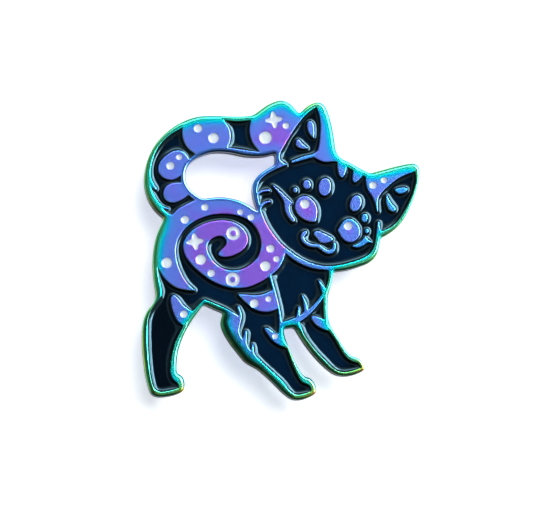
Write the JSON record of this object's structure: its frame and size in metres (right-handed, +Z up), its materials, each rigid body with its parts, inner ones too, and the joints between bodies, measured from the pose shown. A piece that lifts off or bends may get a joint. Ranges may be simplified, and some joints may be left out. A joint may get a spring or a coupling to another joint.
{
  "type": "enamel pin",
  "caption": "Cat-shaped enamel pin: a struck rainbow-plated plate with dark and white enamel fills, pointed posts and butterfly clutches.",
  "frame": {"origin": "on the flat back face, halfway between the two posts", "axes": "+Z up as worn, -Y towards the viewer, +Y along the posts, +X to the viewer's right"},
  "size_m": [0.0352, 0.0104, 0.0379],
  "materials": {
    "rainbow_plating": "polished zinc alloy with rainbow plating, violet in the middle through blue and cyan to green at the outer edge",
    "dark_enamel": "glossy blue-black soft enamel, sunk below the lines, with a raised rim where it wets the metal",
    "white_enamel": "glossy white soft enamel",
    "post_steel": "nickel-plated drawn wire",
    "solder": "dull tin solder",
    "clutch_nickel": "bright nickel-plated pressed sheet"
  },
  "bodies": {
    "badge": {"base_plate": "rainbow_plating", "dark_tail_band": "dark_enamel", "dark_tail_bend": "dark_enamel", "dark_face": "dark_enamel", "dark_body": "dark_enamel", "dark_chest": "dark_enamel", "dark_front_leg": "dark_enamel", "white_tail_star": "white_enamel", "white_tail_tip_dots": "white_enamel", "white_tail_band_dots": "white_enamel", "white_tail_bend_dots": "white_enamel", "white_back_dots": "white_enamel", "white_shoulder_dots": "white_enamel", "white_spiral_star": "white_enamel", "white_spiral_dots": "white_enamel", "white_rings": "white_enamel", "white_belly_dots": "white_enamel", "white_hip_dot": "white_enamel", "white_leg_dot": "white_enamel", "white_ear_dots": "white_enamel", "white_eye_lights": "white_enamel", "post_left": "post_steel", "post_right": "post_steel", "solder_left": "solder", "solder_right": "solder"},
    "left_cap": {"left_cap": "clutch_nickel"},
    "left_seat": {"left_spring_seat": "clutch_nickel"},
    "left_wing_a": {"left_wing_a": "clutch_nickel"},
    "left_wing_b": {"left_wing_b": "clutch_nickel"},
    "right_cap": {"right_cap": "clutch_nickel"},
    "right_seat": {"right_spring_seat": "clutch_nickel"},
    "right_wing_a": {"right_wing_a": "clutch_nickel"},
    "right_wing_b": {"right_wing_b": "clutch_nickel"}
  },
  "joints": [
    {"name": "left_clutch_slide", "type": "slide", "parent": "badge", "child": "left_cap", "axis": [0, 1, 0], "range_m": [-0.0018, 0.012]},
    {"name": "left_spring_turn", "type": "hinge", "parent": "left_cap", "child": "left_seat", "pos_m": [-0.007, 0, -0.0023], "axis": [0, 1, 0], "continuous": true},
    {"name": "left_wing_a_squeeze", "type": "hinge", "parent": "left_seat", "child": "left_wing_a", "pos_m": [-0.0039, 0.00385, -0.0023], "axis": [0, 0, 1], "range_deg": [0, 8], "stiffness_Nm_per_rad": 0.01},
    {"name": "left_wing_b_squeeze", "type": "hinge", "parent": "left_seat", "child": "left_wing_b", "pos_m": [-0.0101, 0.00385, -0.0023], "axis": [0, 0, 1], "range_deg": [-8, 0], "stiffness_Nm_per_rad": 0.01},
    {"name": "right_clutch_slide", "type": "slide", "parent": "badge", "child": "right_cap", "axis": [0, 1, 0], "range_m": [-0.0018, 0.012]},
    {"name": "right_spring_turn", "type": "hinge", "parent": "right_cap", "child": "right_seat", "pos_m": [0.007, 0, 0.0023], "axis": [0, 1, 0], "continuous": true},
    {"name": "right_wing_a_squeeze", "type": "hinge", "parent": "right_seat", "child": "right_wing_a", "pos_m": [0.0101, 0.00385, 0.0023], "axis": [0, 0, 1], "range_deg": [0, 8], "stiffness_Nm_per_rad": 0.01},
    {"name": "right_wing_b_squeeze", "type": "hinge", "parent": "right_seat", "child": "right_wing_b", "pos_m": [0.0039, 0.00385, 0.0023], "axis": [0, 0, 1], "range_deg": [-8, 0], "stiffness_Nm_per_rad": 0.01}
  ],
  "couplings": [
    {"joint": "left_wing_b_squeeze", "follows": "left_wing_a_squeeze", "ratio": -1},
    {"joint": "right_wing_b_squeeze", "follows": "right_wing_a_squeeze", "ratio": -1}
  ]
}
